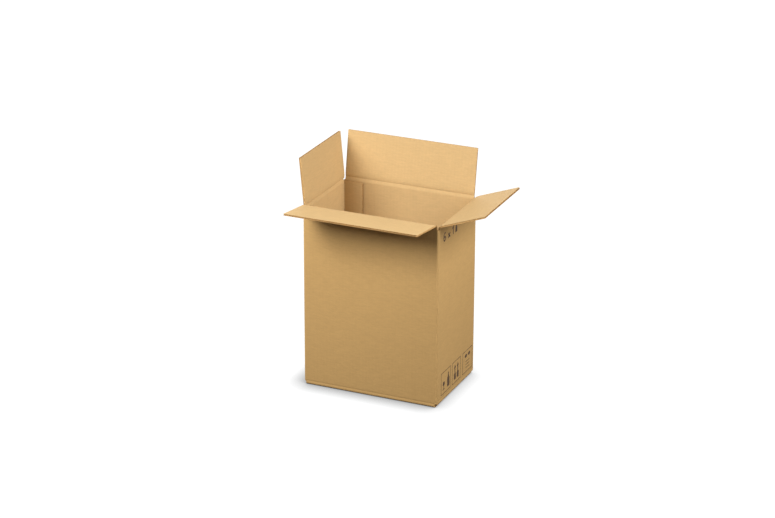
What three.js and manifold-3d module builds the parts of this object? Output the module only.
// An open shipping carton for six one-litre bottles, folded from one sheet of corrugated board.
// The origin is the middle of the base, +Z is up, the long walls face -Y and +Y.
import * as THREE from 'three';
import { mergeVertices } from 'three/addons/utils/BufferGeometryUtils.js';
import Module from 'manifold-3d';

const wasm = await Module();
wasm.setup();

// Driving sizes, in millimetres
const BOX_LENGTH = 258; // outside, along X
const BOX_WIDTH = 172; // outside, along Y
const BOX_HEIGHT = 341; // outside, with all the flaps closed
const BOARD = 3; // thickness of the corrugated board
const FOLD_INSIDE_RADIUS = 0.5; // at every fold of the walls and the base
const LAYER_GAP = 0.3; // between two boards that lie on each other
const FOLD_GAP = 0.15; // from a top flap's turning axis to the board on each side of it
const MEETING_GAP = 1; // between the two long flaps where they meet
const SLOT_CLEARANCE = 0.2; // from the end of a corner's round to the side edge of a flap
const TAB_WIDTH = 36; // glue tab, measured on the inside of the back wall
const TAB_TAPER = 1.5; // how much shorter the tab's free edge is, at both ends
const RAW_EDGE_INSET = 0.5; // the back wall's cut edge stands this far short of the corner

// How far each top flap leans outwards from upright
const FRONT_LEAN_DEGREES = 83;
const RIGHT_LEAN_DEGREES = 70;
const BACK_LEAN_DEGREES = 9;
const LEFT_LEAN_DEGREES = 5.5;

const FOLD_RADIUS = BOARD + FOLD_INSIDE_RADIUS; // on the outside of a fold
const FLAP_INSET = FOLD_RADIUS + SLOT_CLEARANCE; // from a corner to the side edge of a flap
const LAYER = BOARD + LAYER_GAP; // the short flaps lie one layer inside the long ones
const LONG_FLAP_REACH = BOX_WIDTH / 2 - MEETING_GAP / 2;
const SHORT_FLAP_REACH = LONG_FLAP_REACH + LAYER; // both end on the sheet's straight edge
const SLOT_BOTTOM = 2 * LAYER; // the corners and the tab stand clear of all the flaps,
const SLOT_TOP = BOX_HEIGHT - 2 * LAYER; // between these two heights
const ARC_STEPS = 6;

const longWall = {
  face: BOX_WIDTH / 2, // from the middle to the wall's outside
  half: BOX_LENGTH / 2, // half the wall's length
  base: 0, // underside of its bottom flap
  axis: BOX_HEIGHT, // height of its top flap's turning axis
  reach: LONG_FLAP_REACH,
};
const shortWall = {
  face: BOX_LENGTH / 2,
  half: BOX_WIDTH / 2,
  base: LAYER,
  axis: BOX_HEIGHT - LAYER,
  reach: SHORT_FLAP_REACH,
};

// Each side is drawn as the front one is, facing -Y with its length along X, and turned about Z.
// from and to are the side edges of its wall and flaps, and flapFrom the top flap's own from.
// The left wall carries the glue tab, which lies inside the back wall. So that wall ends one more
// layer in, and its top flap is cut in line with the tab's fold.
const sides = {
  front: { ...longWall, turn: 0, lean: FRONT_LEAN_DEGREES },
  right: { ...shortWall, turn: 1, lean: RIGHT_LEAN_DEGREES },
  back: { ...longWall, turn: 2, lean: BACK_LEAN_DEGREES },
  left: { ...shortWall, turn: 3, lean: LEFT_LEAN_DEGREES },
};
for (const side of Object.values(sides)) {
  side.from = FLAP_INSET - side.half;
  side.to = side.half - FLAP_INSET;
  side.flapFrom = side.from;
}
sides.left.from += LAYER;
sides.left.flapFrom = LAYER - sides.left.half;

const kraftOutside = new THREE.MeshStandardMaterial({ color: 0xc29d64, roughness: 0.9, metalness: 0 });
const kraftInside = new THREE.MeshStandardMaterial({ color: 0xe6c18a, roughness: 0.9, metalness: 0 });

const quarterTurn = (turn) => new THREE.Matrix4().makeRotationZ((turn * Math.PI) / 2);

// Turns an outline drawn as (distance inwards, height) into a board that runs along X.
function extrudeAlongX(shape, from, to) {
  const geometry = new THREE.ExtrudeGeometry(shape, {
    depth: to - from,
    bevelEnabled: false,
    curveSegments: ARC_STEPS,
  });
  const inwards = new THREE.Vector3(0, 1, 0);
  const up = new THREE.Vector3(0, 0, 1);
  const along = new THREE.Vector3(1, 0, 0);
  geometry.applyMatrix4(new THREE.Matrix4().makeBasis(inwards, up, along));
  geometry.translate(from, 0, 0);
  return geometry;
}

function extrudeUp(shape, bottom, top) {
  const geometry = new THREE.ExtrudeGeometry(shape, {
    depth: top - bottom,
    bevelEnabled: false,
    curveSegments: ARC_STEPS,
  });
  geometry.translate(0, 0, bottom);
  return geometry;
}

function toSolid(geometry) {
  const bare = geometry.clone();
  bare.deleteAttribute('normal');
  bare.deleteAttribute('uv');
  const merged = mergeVertices(bare, 1e-4);
  return new wasm.Manifold(
    new wasm.Mesh({
      numProp: 3,
      vertProperties: new Float32Array(merged.attributes.position.array),
      triVerts: new Uint32Array(merged.index.array),
    }),
  );
}

function toGeometry(solid) {
  const { vertProperties, triVerts } = solid.getMesh();
  const geometry = new THREE.BufferGeometry();
  geometry.setAttribute('position', new THREE.BufferAttribute(vertProperties, 3));
  geometry.setIndex(new THREE.BufferAttribute(triVerts, 1));
  return geometry;
}

// A wall and its bottom flap, folded round at the base. The top is mitred down from the outside
// so that the top flap can fold over it.
function wallWithBottomFlap(side) {
  const { base, axis, reach, face } = side;
  const lip = axis - FOLD_GAP;
  const outline = new THREE.Shape();
  outline.moveTo(0, lip);
  outline.lineTo(0, base + FOLD_RADIUS);
  outline.absarc(FOLD_RADIUS, base + FOLD_RADIUS, FOLD_RADIUS, Math.PI, 1.5 * Math.PI, false);
  outline.lineTo(reach, base);
  outline.lineTo(reach, base + BOARD);
  outline.lineTo(FOLD_RADIUS, base + BOARD);
  outline.absarc(FOLD_RADIUS, base + FOLD_RADIUS, FOLD_INSIDE_RADIUS, 1.5 * Math.PI, Math.PI, true);
  outline.lineTo(BOARD, lip - BOARD);
  outline.closePath();
  const geometry = extrudeAlongX(outline, side.from, side.to);
  geometry.translate(0, -face, 0);
  return geometry.applyMatrix4(quarterTurn(side.turn));
}

// The upright fold at the right-hand end of a side, between the slots at its two ends.
// setBack is how far inwards the fold stands of the side's own face.
function uprightFold(side, setBack) {
  const corner = side.half;
  const face = setBack - side.face;
  const outline = new THREE.Shape();
  outline.moveTo(corner - FLAP_INSET, face);
  outline.lineTo(corner - FOLD_RADIUS, face);
  outline.absarc(corner - FOLD_RADIUS, face + FOLD_RADIUS, FOLD_RADIUS, -0.5 * Math.PI, 0, false);
  outline.lineTo(corner, face + FLAP_INSET);
  outline.lineTo(corner - BOARD, face + FLAP_INSET);
  outline.lineTo(corner - BOARD, face + FOLD_RADIUS);
  outline.absarc(corner - FOLD_RADIUS, face + FOLD_RADIUS, FOLD_INSIDE_RADIUS, 0, -0.5 * Math.PI, true);
  outline.lineTo(corner - FLAP_INSET, face + BOARD);
  outline.closePath();
  return extrudeUp(outline, SLOT_BOTTOM, SLOT_TOP).applyMatrix4(quarterTurn(side.turn));
}

// The strip of the back wall past its slots, which ends in a cut edge over the left wall's fold.
function backWallEnd(side) {
  const outline = new THREE.Shape();
  outline.moveTo(side.to, -side.face);
  outline.lineTo(side.half - RAW_EDGE_INSET, -side.face);
  outline.lineTo(side.half - RAW_EDGE_INSET, BOARD - side.face);
  outline.lineTo(side.to, BOARD - side.face);
  outline.closePath();
  return extrudeUp(outline, SLOT_BOTTOM, SLOT_TOP).applyMatrix4(quarterTurn(side.turn));
}

// The glue tab, an extension of the left wall that lies on the inside of the back wall.
function glueTab(side) {
  const root = side.half - FLAP_INSET;
  const free = side.half - BOARD - TAB_WIDTH;
  const outline = new THREE.Shape();
  outline.moveTo(root, SLOT_BOTTOM);
  outline.lineTo(root, SLOT_TOP);
  outline.lineTo(free, SLOT_TOP - TAB_TAPER);
  outline.lineTo(free, SLOT_BOTTOM + TAB_TAPER);
  outline.closePath();
  const geometry = new THREE.ExtrudeGeometry(outline, { depth: BOARD, bevelEnabled: false });
  geometry.rotateX(Math.PI / 2);
  geometry.translate(0, LAYER - side.face + BOARD, 0);
  return geometry.applyMatrix4(quarterTurn(side.turn));
}

// The four walls, the four bottom flaps, the upright folds and the glue tab are one sheet.
function cartonBody() {
  const { front, right, back, left } = sides;
  const boards = [
    ...Object.values(sides).map(wallWithBottomFlap),
    uprightFold(front, 0),
    uprightFold(right, 0),
    uprightFold(left, 0),
    uprightFold(back, LAYER),
    backWallEnd(back),
    glueTab(back),
  ];
  const solid = boards.map(toSolid).reduce((sheet, board) => sheet.add(board));
  const mesh = new THREE.Mesh(toGeometry(solid), kraftOutside);
  mesh.name = 'carton_body';
  return mesh;
}

// A top flap, drawn upright on its turning axis. Its root is mitred as the wall's top is.
function topFlap(name, side) {
  const outline = new THREE.Shape();
  outline.moveTo(0, FOLD_GAP);
  outline.lineTo(0, side.reach);
  outline.lineTo(BOARD, side.reach);
  outline.lineTo(BOARD, FOLD_GAP + BOARD);
  outline.closePath();
  const mesh = new THREE.Mesh(extrudeAlongX(outline, side.flapFrom, side.to), kraftInside);
  mesh.name = `${name}_flap`;
  mesh.position.set(0, -side.face, side.axis);
  mesh.rotation.x = THREE.MathUtils.degToRad(side.lean);
  return mesh;
}

const carton = new THREE.Group();
carton.add(cartonBody());
for (const [name, side] of Object.entries(sides)) {
  const turned = new THREE.Group();
  turned.rotation.z = (side.turn * Math.PI) / 2;
  turned.add(topFlap(name, side));
  carton.add(turned);
}

export default carton;
